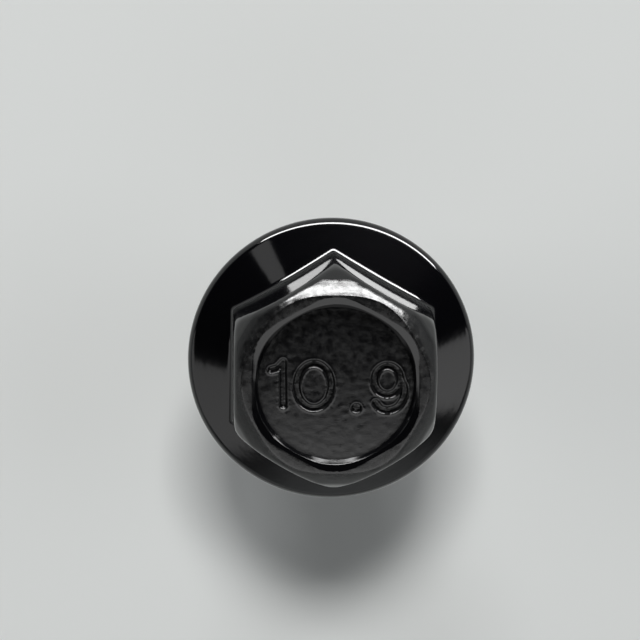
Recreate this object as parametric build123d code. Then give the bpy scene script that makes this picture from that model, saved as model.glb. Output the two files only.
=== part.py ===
"""Hexagon flange bolt, M12 x 1.75 x 30, cold-forged in one piece with its flange.

Frame: millimetres, +Z up along the bolt's axis, head up. The origin is the centre of the
bearing face, the flat ring under the flange. Two flats of the hexagon face +X and -X, and two
of its corners point along +Y and -Y.

The bolt is one solid. From the tip up it is
  a shank at the thread's outer diameter, with a chamfered tip
  a fillet under the head, and the flat ring that bears on the clamped part
  a flange with a rounded rim and a coned upper face
  a hexagon under a domed crown, which cuts its corners deeper than its flats
  a shallow dish in the top, round at its floor and softly six-sided at its mouth.
The thread's fine relief is left off: the shank here is the thread's envelope.
"""
import math
import os
from build123d import *

# Shank, in millimetres and degrees.
THREAD_DIAMETER = 12.0  # outer diameter of the M12 thread
BOLT_LENGTH = 30.0  # bearing face to tip
TIP_DIAMETER = 9.2  # of the flat end, a little under the thread's root
TIP_CHAMFER_ANGLE = 45.0  # from the flat end's plane
UNDERHEAD_FILLET = 0.7

# Flange.
FLANGE_DIAMETER = 26.0
FLANGE_EDGE_THICKNESS = 2.0  # the edge is a full round
FLANGE_CONE_ANGLE = 35.0  # of the upper face, from the bearing face's plane

# Hexagon and its crown.
HEAD_HEIGHT = 11.3  # bearing face to the level crest around the dish
ACROSS_FLATS = 17.85
HEX_CORNER_RADIUS = 0.45  # on the six upright edges
HEX_FOOT_FILLET = 0.5  # where the sides meet the cone
CREST_DIAMETER = 16.1  # where the crown starts to fall away from the crest
CROWN_RADIUS = 11.5  # of the ball that the crown is part of

# Dish.
DISH_DEPTH = 0.6
DISH_FLOOR_DIAMETER = 13.7
DISH_FLOOR_CORNER_RADIUS = 6.7  # nearly half the diameter, so the floor is all but round
DISH_MOUTH_ACROSS_FLATS = 14.7
DISH_MOUTH_CORNER_RADIUS = 4.2

# What follows from them.
SHANK_RADIUS = THREAD_DIAMETER / 2
RIM_RADIUS = FLANGE_EDGE_THICKNESS / 2
RIM_CENTRE_RADIUS = FLANGE_DIAMETER / 2 - RIM_RADIUS


def soft_hexagon(across_flats, corner_radius, height):
    """Level hexagon with rounded corners, two of its flats facing +X and -X."""
    with BuildSketch(Plane.XY.offset(height)) as outline:
        RegularPolygon(across_flats / 2, 6, major_radius=False, rotation=30)
        fillet(outline.vertices(), corner_radius)
    return outline.sketch


def shank_and_flange():
    """The turned form: chamfered shank, bearing face, round rim and coned upper face."""
    tip_radius = TIP_DIAMETER / 2
    chamfer_height = (SHANK_RADIUS - tip_radius) * math.tan(math.radians(TIP_CHAMFER_ANGLE))
    cone = math.radians(FLANGE_CONE_ANGLE)
    cone_foot_radius = RIM_CENTRE_RADIUS + RIM_RADIUS * math.sin(cone)
    cone_foot_height = RIM_RADIUS * (1 + math.cos(cone))
    cone_top_radius = ACROSS_FLATS / 2 - 2 * HEX_FOOT_FILLET  # inside the hexagon
    cone_top_height = cone_foot_height + (cone_foot_radius - cone_top_radius) * math.tan(cone)
    with BuildSketch(Plane.XZ) as half_section:
        with BuildLine():
            shank = Polyline(
                (0, -BOLT_LENGTH),
                (tip_radius, -BOLT_LENGTH),
                (SHANK_RADIUS, -BOLT_LENGTH + chamfer_height),
                (SHANK_RADIUS, -UNDERHEAD_FILLET),
            )
            underhead = RadiusArc(
                shank @ 1, (SHANK_RADIUS + UNDERHEAD_FILLET, 0), UNDERHEAD_FILLET
            )
            bearing_face = Line(underhead @ 1, (RIM_CENTRE_RADIUS, 0))
            rim = ThreePointArc(
                bearing_face @ 1,
                (RIM_CENTRE_RADIUS + RIM_RADIUS, RIM_RADIUS),
                (cone_foot_radius, cone_foot_height),
            )
            Polyline(
                rim @ 1,
                (cone_top_radius, cone_top_height),
                (0, cone_top_height),
                shank @ 0,
            )
        make_face()
    return revolve(half_section.sketch, Axis.Z)


def crowned_hexagon():
    """Upright hexagon whose top is cut to a ball, up to the level crest."""
    foot_height = RIM_RADIUS
    prism = extrude(
        soft_hexagon(ACROSS_FLATS, HEX_CORNER_RADIUS, foot_height), HEAD_HEIGHT - foot_height
    )
    ball_drop = math.sqrt(CROWN_RADIUS**2 - (CREST_DIAMETER / 2) ** 2)
    return prism & Pos(0, 0, HEAD_HEIGHT - ball_drop) * Sphere(CROWN_RADIUS)


def foot_edges(body):
    """The curved edges where the hexagon's sides meet the flange's cone."""
    sides = [
        face
        for face in body.faces()
        if face.center().Z > FLANGE_EDGE_THICKNESS and abs(face.normal_at().Z) < 0.001
    ]
    return [
        edge
        for side in sides
        for edge in side.edges()
        if edge.geom_type != GeomType.LINE and edge.center().Z < side.center().Z
    ]


def dish():
    """The hollow in the head's top, its wall spreading from the floor to the mouth."""
    floor = soft_hexagon(DISH_FLOOR_DIAMETER, DISH_FLOOR_CORNER_RADIUS, HEAD_HEIGHT - DISH_DEPTH)
    mouth = soft_hexagon(DISH_MOUTH_ACROSS_FLATS, DISH_MOUTH_CORNER_RADIUS, HEAD_HEIGHT)
    return loft([floor, mouth])


blank = shank_and_flange() + crowned_hexagon()
flange_bolt = fillet(foot_edges(blank), HEX_FOOT_FILLET) - dish()

os.makedirs("parts", exist_ok=True)
export_step(flange_bolt, "parts/flange_bolt.step")
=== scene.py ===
"""Looks of a hexagon flange bolt, M12 x 1.75 x 30, property class 10.9, over its fixed CAD model.

Laid out as a Blender add-on and run as a script. Object data is in metres, in the CAD frame:
the origin is the middle of the bearing face, +Z points out of the head and flats face +X and -X.
"""

import math

import bpy
import numpy as np
from bpy.props import FloatProperty, FloatVectorProperty, PointerProperty
from mathutils import Matrix, Vector, geometry, noise


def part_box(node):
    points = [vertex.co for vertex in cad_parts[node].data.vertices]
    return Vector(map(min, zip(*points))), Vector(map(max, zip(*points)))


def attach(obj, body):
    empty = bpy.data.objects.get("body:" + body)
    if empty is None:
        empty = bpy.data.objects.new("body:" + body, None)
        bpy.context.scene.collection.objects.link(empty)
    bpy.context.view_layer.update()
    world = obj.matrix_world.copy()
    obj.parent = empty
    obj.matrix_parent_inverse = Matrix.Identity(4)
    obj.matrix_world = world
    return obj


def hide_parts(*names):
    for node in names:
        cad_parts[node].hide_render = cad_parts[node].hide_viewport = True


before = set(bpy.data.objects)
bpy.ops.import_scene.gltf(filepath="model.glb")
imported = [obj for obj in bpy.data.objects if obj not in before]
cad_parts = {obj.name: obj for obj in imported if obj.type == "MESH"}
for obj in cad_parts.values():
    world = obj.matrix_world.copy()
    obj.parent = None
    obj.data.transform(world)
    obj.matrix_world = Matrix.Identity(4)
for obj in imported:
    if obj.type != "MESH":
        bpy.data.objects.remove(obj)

bl_info = {
    "name": "Flange Bolt Builder",
    "version": (1, 0, 0),
    "blender": (4, 5, 0),
    "location": "View3D > Sidebar > Flange Bolt",
    "description": "Builds a cold-forged hexagon flange bolt and the studio that it stands in",
    "category": "Add Mesh",
}

MM = 0.001
NODE = "flange_bolt"
LOW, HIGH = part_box(NODE)
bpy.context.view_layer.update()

# Studio camera, in millimetres in the CAD frame
CAMERA_AT = (-10.531, 56.872, 247.168)
CAMERA_AIM = (-1.314, 5.121, 8.0)
CAMERA_ROLL = math.radians(0.42)
CAMERA_LENS = 156.7

# Studio, in metres and degrees. A lamp is its name, azimuth, elevation, distance, (width, height),
# radiance and, where it is not white, its tint
TABLE_HALF = 3.0
# lamps that light the table and give it the bolt's soft shadows
TABLE_LAMPS = (
    ("key_lamp", 92, 59, 1.2, (0.26, 0.15), 76.0, (1.0, 0.99, 0.97)),
    ("low_key", 97, 38, 1.2, (0.26, 0.12), 20.0),
    ("left_fill", 165, 38, 1.2, (0.5, 0.5), 2.2, (1.0, 0.99, 0.96)),
    ("right_fill", 20, 50, 1.2, (0.5, 0.5), 1.5, (0.97, 0.99, 1.0)),
    ("front_fill", 270, 55, 1.2, (1.0, 0.6), 0.35, (0.92, 0.96, 1.0)),
)
# cards that the glossy coat mirrors
BOLT_CARDS = (
    ("window_card", 78, 17, 0.9, (1.80, 0.20), 30.0),
    ("left_window", 127, 29, 0.9, (0.15, 0.09), 1.0),
    ("front_card", 268, 45, 0.9, (1.5, 1.00), 1.6),
    ("left_card", 221, 15.5, 0.9, (1.5, 0.18), 0.9),
    ("right_card", 319, 15.5, 0.9, (1.5, 0.18), 1.2),
)

# Forged head, in millimetres
SECTORS = 6
COLUMNS_A_SECTOR = 72
HEX_CORNER_RADIUS = 0.45
CONE_ANGLE = math.radians(35)
RIM_RADIUS = 1.0
DISH_DEPTH = 0.6
DISH_FLOOR_RADIUS = 6.85
DISH_MOUTH_APOTHEM = 7.35
DISH_MOUTH_CORNER_RADIUS = 4.2
UNDERHEAD_FILLET = 0.7
# the crown's radius at each depth below the top, over the hexagon's corners
CROWN = ((0.0, 7.95), (0.3, 8.30), (0.7, 8.72), (1.3, 9.30), (2.3, 9.86), (3.5, 10.16), (4.8, 10.28))
CROWN_WIDER_AT_FLATS = 0.30
CROWN_EDGE_ROUND = 0.35
CORNER_UNDERFILL = 1.1
CORNER_UNDERFILL_DEPTH = 3.4
FORGED_SKIN_DEPTH = 1.9
FOOT_ROUND = 0.42
CONE_BLEND = 0.1
FOOT_ROUND_ENDS = 3.2
# the dish wall: steep over the first third of its width, then a gentle lip
WALL_SHAPE = ((0.0, 0.36, 1.0), (0.0, 0.82, 1.0))
CREST_FALL = 0.02

# Where the rings of the head lie: shares of a width, depths and heights in millimetres, angles in degrees
WALL_RINGS = (0.0, 0.03, 0.12, 0.24, 0.33, 0.38, 0.44, 0.6, 0.8, 0.95)
CREST_RINGS = (0.05, 0.3, 0.6, 0.85)
CROWN_RINGS = (
    0.03, 0.07, 0.12, 0.18, 0.25, 0.33, 0.42, 0.52, 0.63, 0.75, 0.88, 1.02, 1.18,
    1.36, 1.56, 1.8, 2.1, 2.45, 2.85, 3.3, 3.8, 4.4, 5.0, 5.7, 6.2,
)
FOOT_RINGS = (
    4.95, 4.8, 4.66, 4.54, 4.43, 4.32, 4.22, 4.12, 4.02, 3.92, 3.82,
    3.72, 3.62, 3.52, 3.42, 3.32, 3.22, 3.1, 2.9, 2.6, 2.25, 1.95,
)
RIM_RINGS = (55, 47, 39, 30, 20, 8, -8, -26, -45, -65, -82, -90)
BEARING_RINGS = (10.4, 8.6)
FILLET_RINGS = (72, 54, 36, 18, 0)

# Skin values: 0 is die-polished, 1 is raw forged
SKIN_WALL = 0.12
SKIN_UNDERSIDE = 0.3
SKIN_SHANK = 0.2
SKIN_FLOOR = 0.6

# Uneven forging: size of the lumps and their height, in millimetres, where the noise starts,
# and on the dish floor how many times wider than long the lumps are
HEAD_LUMPS = ((3.1, 0.030, 3.0), (1.1, 0.012, 7.0), (0.33, 0.007, 11.0), (0.16, 0.004, 5.0))
FLOOR_LUMPS = ((0.9, 0.006, 2.0, 2.2), (0.35, 0.004, 9.0, 2.4))
FLOOR_DOME = 0.08
FLOOR_DOME_CURVE = 0.0018

# Shank and thread, in millimetres
PITCH = 1.75
CORE_RADIUS = 4.9265
CREST_RADIUS = 5.98
NECK_LENGTH = 3.5
RUN_OUT = 2.2
TIP_RADIUS = 4.6
TURN_STEPS = 80
NECK_RINGS = (-1.2, -2.2, -3.0)
CORE_RINGS = (-9.0, -13.0, -17.0, -21.0, -25.0, -28.6)
RIDGE_START = -3.0
RIDGE_SUNK = 0.08
CREST_EDGE = 0.05
SMOOTH_UP_TO = math.radians(38)

# Property class digits: centre lines of the strokes on the dish floor, in millimetres
STROKE_HALF_WIDTH = 0.30
STROKE_DEPTH = 0.30
ONE = ((-5.62, 1.28), (-5.10, 1.42), (-4.62, 1.96), (-4.56, -1.90))
ZERO = ((-1.90, -0.15), (1.52, 2.00))
POINT = ((1.84, -2.16), 0.12)
NINE_BOWL = ((4.52, 0.34), (1.14, 1.30))
NINE_TAIL = (
    (5.71, 0.30), (6.02, -0.45), (5.92, -1.35), (5.45, -2.05), (4.75, -2.36), (4.02, -2.26), (3.52, -1.72),
)
FINE_STEP = 0.075
COARSE_STEP = 0.22
FINE_WITHIN = 0.62


# ---------------------------------------------------------------- settings


def linear(code):
    """An sRGB hex colour as linear red, green and blue."""
    parts = [int(code[i:i + 2], 16) / 255 for i in (1, 3, 5)]
    return tuple(c / 12.92 if c <= 0.04045 else ((c + 0.055) / 1.055) ** 2.4 for c in parts)


class BoltSizes(bpy.types.PropertyGroup):
    """Main sizes of the bolt; the defaults come from the CAD model and its record."""

    head_height: FloatProperty(
        name="Head height", description="From the bearing face to the top", default=HIGH.z, unit="LENGTH"
    )
    bolt_length: FloatProperty(
        name="Length", description="From the bearing face to the tip", default=-LOW.z, unit="LENGTH"
    )
    flange_radius: FloatProperty(
        name="Flange radius", description="Radius of the flange's rim", default=HIGH.x, unit="LENGTH"
    )
    half_across_flats: FloatProperty(
        name="Half across flats", description="From the axis to a flat", default=8.925 * MM, unit="LENGTH"
    )
    thread_radius: FloatProperty(
        name="Neck radius", description="Half the thread's nominal diameter", default=6.0 * MM, unit="LENGTH"
    )


class BoltFinish(bpy.types.PropertyGroup):
    """Colours and gloss of the bolt and its studio."""

    coat_colour: FloatVectorProperty(
        name="Coat",
        description="Colour of the black topcoat",
        subtype="COLOR",
        size=3,
        default=linear("#030304"),
    )
    table_colour: FloatVectorProperty(
        name="Table",
        description="Colour of the pale table",
        subtype="COLOR",
        size=3,
        default=linear("#E7EAEA"),
    )
    gloss: FloatProperty(
        name="Coat roughness",
        description="Roughness of the die-polished coat",
        default=0.075,
        min=0.0,
        max=1.0,
    )


# ---------------------------------------------------------------- shapes


def smooth_min(a, b, width):
    """Smaller of two distances, with the corner between them rounded over about this width."""
    h = np.clip(0.5 + 0.5 * (b - a) / width, 0.0, 1.0)
    return b * (1 - h) + a * h - width * h * (1 - h)


def smooth_max(a, b, width):
    """Larger of two distances, with the corner between them filled over about this width."""
    return -smooth_min(-a, -b, width)


def soft_hexagon(angle, apothem, corner):
    """Radius at each angle of a hexagon with rounded corners, whose flats face +X and -X."""
    psi = np.abs((np.degrees(angle) + 30.0) % 60.0 - 30.0)
    psi = np.radians(psi)
    centre = (apothem - corner) / math.cos(math.radians(30))
    flat = apothem / np.cos(psi)
    delta = math.radians(30) - psi
    arc = centre * np.cos(delta) + np.sqrt(np.maximum(corner**2 - (centre * np.sin(delta)) ** 2, 0.0))
    turns_at = np.arctan2(corner * 0.5, centre + corner * math.cos(math.radians(30)))
    return np.where(delta < turns_at, arc, flat)


def column_angles():
    """Angles round the head, closest together at the hexagon's corners."""
    u = np.arange(COLUMNS_A_SECTOR) / COLUMNS_A_SECTOR * 2 - 1
    sector = np.radians(30 * (0.3 * u + 0.7 * u**3))
    return np.concatenate([sector + math.radians(30 + 60 * k) for k in range(SECTORS)])


def ripple(x, y, z, scale, seed):
    """Smooth noise of a point in millimetres; scale is the size of its lumps."""
    return noise.noise(Vector((x / scale + seed, y / scale - seed, z / scale + 2 * seed)))


def head_rings(sizes):
    """Rings of (radius, height, skin roughness) from the dish floor's edge over the head to the neck."""
    phi = column_angles()
    ones = np.ones_like(phi)
    top = sizes.head_height / MM
    flats = sizes.half_across_flats / MM
    rim = sizes.flange_radius / MM - RIM_RADIUS
    neck = sizes.thread_radius / MM
    across = 0.5 + 0.5 * np.cos(6 * phi)
    mouth = soft_hexagon(phi, DISH_MOUTH_APOTHEM, DISH_MOUTH_CORNER_RADIUS)
    crest_end = CROWN[0][1] + CROWN_WIDER_AT_FLATS * across
    rings = []

    for t in WALL_RINGS:
        r = DISH_FLOOR_RADIUS + (mouth - DISH_FLOOR_RADIUS) * t
        rise = float(np.interp(t, *WALL_SHAPE))
        rings.append((r, ones * (top - DISH_DEPTH + DISH_DEPTH * rise), ones * SKIN_WALL))
    for t in CREST_RINGS:
        r = mouth + (crest_end - mouth) * t
        rings.append((r, ones * (top - CREST_FALL * t * t), ones))

    drops, radii = zip(*CROWN)
    for drop in CROWN_RINGS:
        crown = np.interp(drop, drops, radii) + CROWN_WIDER_AT_FLATS * across
        corner = HEX_CORNER_RADIUS + CORNER_UNDERFILL * max(0.0, 1 - drop / CORNER_UNDERFILL_DEPTH)
        wall = soft_hexagon(phi, flats, corner)
        r = smooth_min(ones * crown, wall, CROWN_EDGE_ROUND)
        skin = max(0.0, 1.0 - drop / FORGED_SKIN_DEPTH)
        rings.append((np.maximum(r, crest_end), ones * (top - drop), ones * skin))
    cone_foot = rim + RIM_RADIUS * math.sin(CONE_ANGLE)
    cone_low = RIM_RADIUS + RIM_RADIUS * math.cos(CONE_ANGLE)
    for z in FOOT_RINGS:
        wall = soft_hexagon(phi, flats, HEX_CORNER_RADIUS)
        cone = ones * (cone_foot - (z - cone_low) / math.tan(CONE_ANGLE))
        blend = FOOT_ROUND if z > FOOT_ROUND_ENDS else CONE_BLEND
        rings.append((smooth_max(wall, cone, blend), ones * z, ones * 0.0))
    for angle in np.radians(RIM_RINGS):
        rings.append((ones * (rim + math.cos(angle)), ones * (RIM_RADIUS + math.sin(angle)), ones * 0.0))
    fillet_at = neck + UNDERHEAD_FILLET
    for r in (*BEARING_RINGS, fillet_at):
        rings.append((ones * r, ones * 0.0, ones * SKIN_UNDERSIDE))
    for angle in np.radians(FILLET_RINGS):
        r = fillet_at - UNDERHEAD_FILLET * math.cos(angle)
        z = -UNDERHEAD_FILLET + UNDERHEAD_FILLET * math.sin(angle)
        rings.append((ones * r, ones * z, ones * SKIN_UNDERSIDE))
    return phi, rings


def shank_rings(sizes, phi):
    """Rings of the neck, the thread's run-out, its core and the chamfered tip."""
    ones = np.ones_like(phi)
    neck = sizes.thread_radius / MM
    tip = -sizes.bolt_length / MM
    rings = [(neck, z) for z in (*NECK_RINGS, -NECK_LENGTH)]
    rings += [(neck - 0.55, -NECK_LENGTH - 0.5 * RUN_OUT), (CORE_RADIUS, -NECK_LENGTH - RUN_OUT)]
    rings += [(CORE_RADIUS, z) for z in CORE_RINGS]
    rings += [(CORE_RADIUS, tip + CORE_RADIUS - TIP_RADIUS), (TIP_RADIUS, tip), (TIP_RADIUS * 0.55, tip)]
    return [(ones * r, ones * z, ones * SKIN_SHANK) for r, z in rings]


def stroke_distance(p, points):
    """Distance from each point to an open line of straight strokes."""
    best = np.full(len(p), 1e9)
    for a, b in zip(points[:-1], points[1:]):
        a = np.array(a)
        b = np.array(b)
        along = b - a
        t = np.clip(((p - a) @ along) / (along @ along), 0, 1)
        best = np.minimum(best, np.linalg.norm(p - a - t[:, None] * along, axis=1))
    return best


def oval(centre, half, steps=48):
    """Points round an oval, closed."""
    turn = np.linspace(0, 2 * math.pi, steps + 1)
    return [(centre[0] + half[0] * math.cos(a), centre[1] + half[1] * math.sin(a)) for a in turn]


def smooth_line(points, steps=10):
    """Points of a rounded line through these, as a Catmull-Rom curve."""
    p = [np.array(q) for q in (points[0], *points, points[-1])]
    out = []
    for a, b, c, d in zip(p[:-3], p[1:-2], p[2:-1], p[3:]):
        for k in range(steps):
            t = k / steps
            out.append(tuple(0.5 * (2 * b + (c - a) * t + (2 * a - 5 * b + 4 * c - d) * t**2
                                    + (3 * b - a - 3 * c + d) * t**3)))
    return out + [tuple(p[-1])]


def digits_distance(p):
    """Distance from each point on the dish floor to the nearest digit's centre line."""
    lines = (ONE, oval(*ZERO), oval(*NINE_BOWL), smooth_line(NINE_TAIL))
    best = np.min([stroke_distance(p, line) for line in lines], axis=0)
    dot = np.linalg.norm(p - np.array(POINT[0]), axis=1) - POINT[1]
    return np.minimum(best, dot)


def stamped_depth(p):
    """Height of the dish floor against its level: cut digits with soft sides and raised lips."""
    d = digits_distance(p)
    t = np.clip((STROKE_HALF_WIDTH + 0.07 - d) / 0.20, 0.0, 1.0)
    cut = -STROKE_DEPTH * t * t * (3 - 2 * t)
    lip = 0.022 * np.exp(-(((d - STROKE_HALF_WIDTH - 0.13) / 0.07) ** 2))
    return cut + lip


def floor_points():
    """Points over the dish floor, closest together at the digits."""
    points = []
    for step, near in ((FINE_STEP, True), (COARSE_STEP, False)):
        rows = int(DISH_FLOOR_RADIUS / (step * 0.866)) + 1
        for j in range(-rows, rows + 1):
            y = j * step * 0.866
            x = np.arange(-DISH_FLOOR_RADIUS, DISH_FLOOR_RADIUS, step) + (j % 2) * step / 2
            row = np.stack([x, np.full_like(x, y)], axis=1)
            row = row[np.linalg.norm(row, axis=1) < DISH_FLOOR_RADIUS - 0.06]
            if len(row) == 0:
                continue
            close = digits_distance(row) < FINE_WITHIN
            points.append(row[close] if near else row[~close])
    return np.concatenate(points)


def thread_ridge(sizes):
    """Corners and faces of the helical ridge: 60 degree flanks, right-handed, chamfered at the tip."""
    tip = -sizes.bolt_length / MM
    turns = (RIDGE_START - tip + 0.6) / PITCH
    count = int(turns * TURN_STEPS)
    root = CORE_RADIUS - RIDGE_SUNK
    edge = CREST_RADIUS - CREST_EDGE
    profile = []
    for r, side in ((root, -1), (edge, -1), (CREST_RADIUS, -0.6), (CREST_RADIUS, 0.6), (edge, 1), (root, 1)):
        half = PITCH / 16 + (CREST_RADIUS - r) * math.tan(math.radians(30))
        profile.append((r, side * half))
    corners = []
    for i in range(count + 1):
        turn = i / TURN_STEPS
        angle = -2 * math.pi * turn
        for r, dz in profile:
            z = min(max(RIDGE_START - turn * PITCH + dz, tip + 0.02), -0.9)
            r_here = min(r, TIP_RADIUS + (z - tip) - 0.004)
            corners.append((r_here * math.cos(angle), r_here * math.sin(angle), z))
    n = len(profile)
    faces = []
    for i in range(count):
        for k in range(n - 1):
            a = i * n + k
            faces.append((a, a + 1, a + 1 + n, a + n))
    return corners, faces


def forged_offset(point, skin):
    """How far a spot of the head moves out along its radius and up: uneven forging, in millimetres."""
    x, y, z = point
    return sum(ripple(x, y, z, size, seed) * height for size, height, seed in HEAD_LUMPS) * skin


def bolt_mesh(sizes):
    """The whole bolt as one mesh, with a skin value at each corner: 0 die-polished, 1 raw forged."""
    top = sizes.head_height / MM
    phi, rings = head_rings(sizes)
    rings += shank_rings(sizes, phi)
    cols = len(phi)
    cos = np.cos(phi)
    sin = np.sin(phi)
    corners = []
    skins = []
    for index, (r, z, skin) in enumerate(rings):
        for k in range(cols):
            point = (r[k] * cos[k], r[k] * sin[k], z[k])
            move = forged_offset(point, skin[k]) if index else 0.0
            r_new = r[k] + move * (0.6 if z[k] > 1.0 else 0.0)
            z_new = min(z[k] + move * (1.0 if z[k] > top - 1.2 else 0.0), top)
            corners.append((r_new * cos[k], r_new * sin[k], z_new))
            skins.append(float(skin[k]))
    faces = []
    for i in range(len(rings) - 1):
        for k in range(cols):
            n = (k + 1) % cols
            faces.append((i * cols + k, (i + 1) * cols + k, (i + 1) * cols + n, i * cols + n))
    last = (len(rings) - 1) * cols
    corners.append((0.0, 0.0, -sizes.bolt_length / MM))
    skins.append(SKIN_SHANK)
    for k in range(cols):
        faces.append((last + k, len(corners) - 1, last + (k + 1) % cols))

    ring = [Vector((c[0], c[1])) for c in corners[:cols]]
    inner = floor_points()
    edges = [(k, (k + 1) % cols) for k in range(cols)]
    flat = geometry.delaunay_2d_cdt(ring + [Vector(p) for p in inner], edges, [], 1, 1e-6)
    p = np.array([(v.x, v.y) for v in flat[0]])
    radius = np.linalg.norm(p, axis=1)
    heights = top - DISH_DEPTH + stamped_depth(p)
    where = {}
    for i, source in enumerate(flat[3]):
        on_ring = [s for s in source if s < cols]
        if on_ring:
            where[i] = on_ring[0]
            continue
        x, y = p[i]
        fade = min(1.0, (DISH_FLOOR_RADIUS - radius[i]) / 0.5)
        rough = sum(ripple(x, y * wide, 0.0, size, seed) * height for size, height, seed, wide in FLOOR_LUMPS)
        dome = FLOOR_DOME - FLOOR_DOME_CURVE * radius[i] ** 2
        where[i] = len(corners)
        corners.append((x, y, heights[i] + (rough + dome) * fade))
        skins.append(SKIN_FLOOR)
    for face in flat[2]:
        faces.append(tuple(where[v] for v in face))

    ridge, ridge_faces = thread_ridge(sizes)
    base = len(corners)
    corners += ridge
    skins += [0.0] * len(ridge)
    faces += [tuple(base + v for v in face) for face in ridge_faces]

    mesh = bpy.data.meshes.new("flange_bolt_skin")
    mesh.from_pydata((np.array(corners) * MM).tolist(), [], faces)
    mesh.polygons.foreach_set("use_smooth", [True] * len(mesh.polygons))
    mesh.set_sharp_from_angle(angle=SMOOTH_UP_TO)
    layer = mesh.attributes.new("skin", "FLOAT", "POINT")
    layer.data.foreach_set("value", skins)
    mesh.validate()
    mesh.update()
    return mesh


# ---------------------------------------------------------------- materials


def add_node(tree, kind, values=None, links=None, **settings):
    """A node of this kind, with its settings, the values of its sockets and what feeds them."""
    node = tree.nodes.new(kind)
    for name, value in settings.items():
        setattr(node, name, value)
    for name, value in (values or {}).items():
        node.inputs[name].default_value = value
    for name, source in (links or {}).items():
        tree.links.new(source, node.inputs[name])
    return node


def black_topcoated_forged_steel(finish):
    """Cold-forged steel under a baked black topcoat: near-mirror black where the die was polished,
    and mottled with a soft, broken gloss where the forging skin shows through the thin film."""
    material = bpy.data.materials.new("black_topcoated_forged_steel")
    material.use_nodes = True
    tree = material.node_tree
    tree.nodes.clear()
    place = add_node(tree, "ShaderNodeTexCoord").outputs["Object"]
    skin = add_node(tree, "ShaderNodeAttribute", attribute_name="skin").outputs["Fac"]
    # grit of the scaled skin, about 0.12 mm, and die marks about 0.5 mm apart
    grit = add_node(tree, "ShaderNodeTexNoise", {"Scale": 1 / (0.12 * MM), "Detail": 3.0}, {"Vector": place})
    marks = add_node(tree, "ShaderNodeTexNoise", {"Scale": 1 / (0.5 * MM), "Detail": 4.0}, {"Vector": place})
    peel = add_node(tree, "ShaderNodeTexNoise", {"Scale": 1 / (1.6 * MM), "Detail": 2.0}, {"Vector": place})
    patches = add_node(
        tree, "ShaderNodeMapRange", {"From Min": 0.35, "From Max": 0.7, "To Min": 0.16, "To Max": 0.36},
        {"Value": marks.outputs["Fac"]},
    )
    rough = add_node(
        tree, "ShaderNodeMapRange", {"To Min": finish.gloss},
        {"Value": skin, "To Max": patches.outputs["Result"]},
    )
    mixed = add_node(
        tree, "ShaderNodeMath", {1: 0.6}, {0: grit.outputs["Fac"], 2: marks.outputs["Fac"]},
        operation="MULTIPLY_ADD",
    )
    thin_film = add_node(
        tree, "ShaderNodeMath", {}, {0: skin, 1: marks.outputs["Fac"]}, operation="MULTIPLY"
    )
    worn = add_node(
        tree, "ShaderNodeMixRGB", {"Color1": (*finish.coat_colour, 1), "Color2": (*linear("#151515"), 1)},
        {"Fac": thin_film.outputs[0]},
    )
    strength = add_node(tree, "ShaderNodeMapRange", {"To Min": 0.02, "To Max": 0.22}, {"Value": skin})
    bump = add_node(
        tree, "ShaderNodeBump", {"Distance": 0.03 * MM},
        {"Height": mixed.outputs[0], "Strength": strength.outputs["Result"]},
    )
    film = add_node(
        tree, "ShaderNodeBump", {"Distance": 0.012 * MM, "Strength": 0.35},
        {"Height": peel.outputs["Fac"], "Normal": bump.outputs["Normal"]},
    )
    coat = add_node(
        tree, "ShaderNodeBsdfPrincipled", {"IOR": 1.5, "Metallic": 0.0},
        {
            "Base Color": worn.outputs["Color"],
            "Roughness": rough.outputs["Result"],
            "Normal": film.outputs["Normal"],
        },
    )
    add_node(tree, "ShaderNodeOutputMaterial", links={"Surface": coat.outputs["BSDF"]})
    return material


def matte_table_laminate(finish):
    """Pale matte laminate table: even, without gloss, so that only soft shadows show on it."""
    material = bpy.data.materials.new("matte_table_laminate")
    material.use_nodes = True
    tree = material.node_tree
    tree.nodes.clear()
    top = add_node(
        tree, "ShaderNodeBsdfPrincipled",
        {"Base Color": (*finish.table_colour, 1), "Roughness": 0.9, "Specular IOR Level": 0.1},
    )
    add_node(tree, "ShaderNodeOutputMaterial", links={"Surface": top.outputs["BSDF"]})
    return material


# ---------------------------------------------------------------- pieces and stage


class BOLT_OT_flange_bolt(bpy.types.Operator):
    """Build the bolt with its stamped head, coned flange, neck and thread."""

    bl_idname = "bolt.flange_bolt"
    bl_label = "Flange Bolt"

    def execute(self, context):
        scene = context.scene
        mesh = bolt_mesh(scene.bolt_sizes)
        if len(mesh.polygons) == 0:
            raise RuntimeError("the bolt's mesh came out empty")
        piece = bpy.data.objects.new("bolt_body", mesh)
        scene.collection.objects.link(piece)
        mesh.materials.append(black_topcoated_forged_steel(scene.bolt_finish))
        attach(piece, "root")
        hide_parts(NODE)
        return {"FINISHED"}


def receivers(name, objects):
    """A collection outside the scene that lists what a lamp shines on."""
    group = bpy.data.collections.new(name)
    for item in objects:
        group.objects.link(item)
    return group


def soft_lamp(group, name, azimuth, elevation, distance, size, radiance, tint=(1.0, 1.0, 1.0)):
    """A rectangular soft lamp that faces the bolt; azimuth 0 is +X and 90 is +Y, sizes in metres."""
    data = bpy.data.lights.new(name, "AREA")
    data.shape = "RECTANGLE"
    data.size, data.size_y = size
    data.energy = radiance * math.pi * size[0] * size[1]
    data.color = tint
    lamp = bpy.data.objects.new(name, data)
    a = math.radians(azimuth)
    e = math.radians(elevation)
    toward = Vector((math.cos(a) * math.cos(e), math.sin(a) * math.cos(e), math.sin(e)))
    lamp.location = toward * distance
    lamp.rotation_mode = "QUATERNION"
    lamp.rotation_quaternion = toward.to_track_quat("Z", "Y")
    lamp.visible_camera = False
    lamp.light_linking.receiver_collection = group
    bpy.context.scene.collection.objects.link(lamp)
    return lamp


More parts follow.
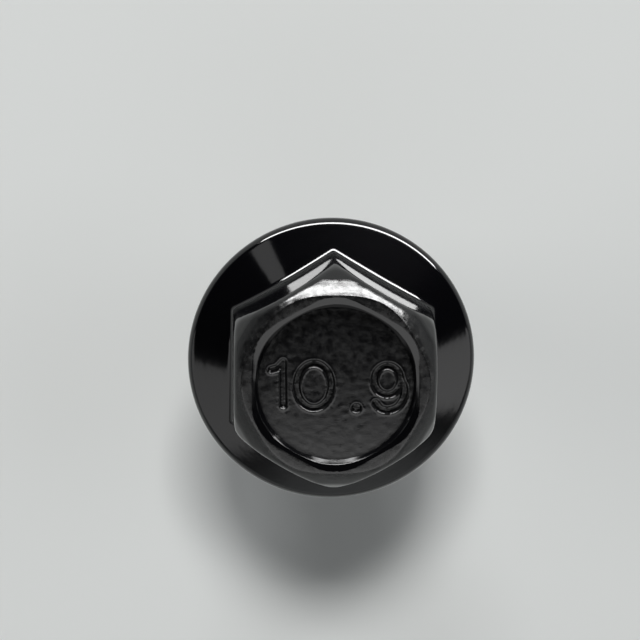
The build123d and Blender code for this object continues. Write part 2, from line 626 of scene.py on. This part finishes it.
class BOLT_OT_studio(bpy.types.Operator):
    """Build the pale table, the soft studio lamps, the surroundings and the camera."""

    bl_idname = "bolt.studio"
    bl_label = "Studio"

    def execute(self, context):
        scene = context.scene
        mesh = bpy.data.meshes.new("table_top")
        rectangle = [(x * TABLE_HALF, y * TABLE_HALF, LOW.z) for x, y in ((-1, -1), (1, -1), (1, 1), (-1, 1))]
        mesh.from_pydata(rectangle, [], [(0, 1, 2, 3)])
        mesh.materials.append(matte_table_laminate(scene.bolt_finish))
        table = bpy.data.objects.new("table_top", mesh)
        scene.collection.objects.link(table)

        bolt = bpy.data.objects.get("bolt_body")
        if bolt is None:
            raise RuntimeError("build the flange bolt before the studio")
        on_table = receivers("lit_table", [table])
        on_bolt = receivers("lit_bolt", [bolt])
        for lamp in TABLE_LAMPS:
            soft_lamp(on_table, *lamp)
        for card in BOLT_CARDS:
            soft_lamp(on_bolt, *card)

        world = bpy.data.worlds.new("studio_surroundings")
        world.use_nodes = True
        tree = world.node_tree
        tree.nodes.clear()
        way = add_node(tree, "ShaderNodeTexCoord").outputs["Generated"]
        height = add_node(tree, "ShaderNodeSeparateXYZ", links={"Vector": way}).outputs["Z"]
        fade = add_node(
            tree, "ShaderNodeMapRange",
            {"From Min": 0.05, "From Max": 0.16, "To Min": 0.6, "To Max": 0.003}, {"Value": height},
            interpolation_type="SMOOTHSTEP",
        )
        sky = add_node(
            tree, "ShaderNodeBackground", {"Color": (0.97, 1.0, 1.0, 1)}, {"Strength": fade.outputs["Result"]}
        )
        add_node(tree, "ShaderNodeOutputWorld", links={"Surface": sky.outputs["Background"]})
        scene.world = world
        scene.view_settings.view_transform = "Standard"

        data = bpy.data.cameras.new("studio_camera")
        data.lens = CAMERA_LENS
        data.sensor_width = 36.0
        data.clip_start = 0.01
        data.clip_end = 20.0
        camera = bpy.data.objects.new("studio_camera", data)
        away = (Vector(CAMERA_AT) - Vector(CAMERA_AIM)).normalized()
        right = Vector((0, 1, 0)).cross(away).normalized()
        up = away.cross(right)
        x = right * math.cos(CAMERA_ROLL) + up * math.sin(CAMERA_ROLL)
        y = up * math.cos(CAMERA_ROLL) - right * math.sin(CAMERA_ROLL)
        turn = Matrix((x, y, away)).transposed().to_4x4()
        camera.matrix_world = Matrix.Translation(Vector(CAMERA_AT) * MM) @ turn
        scene.collection.objects.link(camera)
        scene.camera = camera
        return {"FINISHED"}


class BOLT_PT_panel(bpy.types.Panel):
    """Lists the bolt's sizes and finish and the builders."""

    bl_idname = "BOLT_PT_panel"
    bl_label = "Flange Bolt"
    bl_space_type = "VIEW_3D"
    bl_region_type = "UI"
    bl_category = "Flange Bolt"

    def draw(self, context):
        layout = self.layout
        for group in (context.scene.bolt_sizes, context.scene.bolt_finish):
            for name in group.__annotations__:
                layout.prop(group, name)
        layout.operator(BOLT_OT_flange_bolt.bl_idname)
        layout.operator(BOLT_OT_studio.bl_idname)


CLASSES = (BoltSizes, BoltFinish, BOLT_OT_flange_bolt, BOLT_OT_studio, BOLT_PT_panel)


def register():
    for cls in CLASSES:
        bpy.utils.register_class(cls)
    bpy.types.Scene.bolt_sizes = PointerProperty(type=BoltSizes)
    bpy.types.Scene.bolt_finish = PointerProperty(type=BoltFinish)


def unregister():
    del bpy.types.Scene.bolt_finish
    del bpy.types.Scene.bolt_sizes
    for cls in reversed(CLASSES):
        bpy.utils.unregister_class(cls)


def main():
    """Builds every piece and the stage."""
    register()
    bpy.ops.bolt.flange_bolt()
    bpy.ops.bolt.studio()


if __name__ == "__main__":
    main()
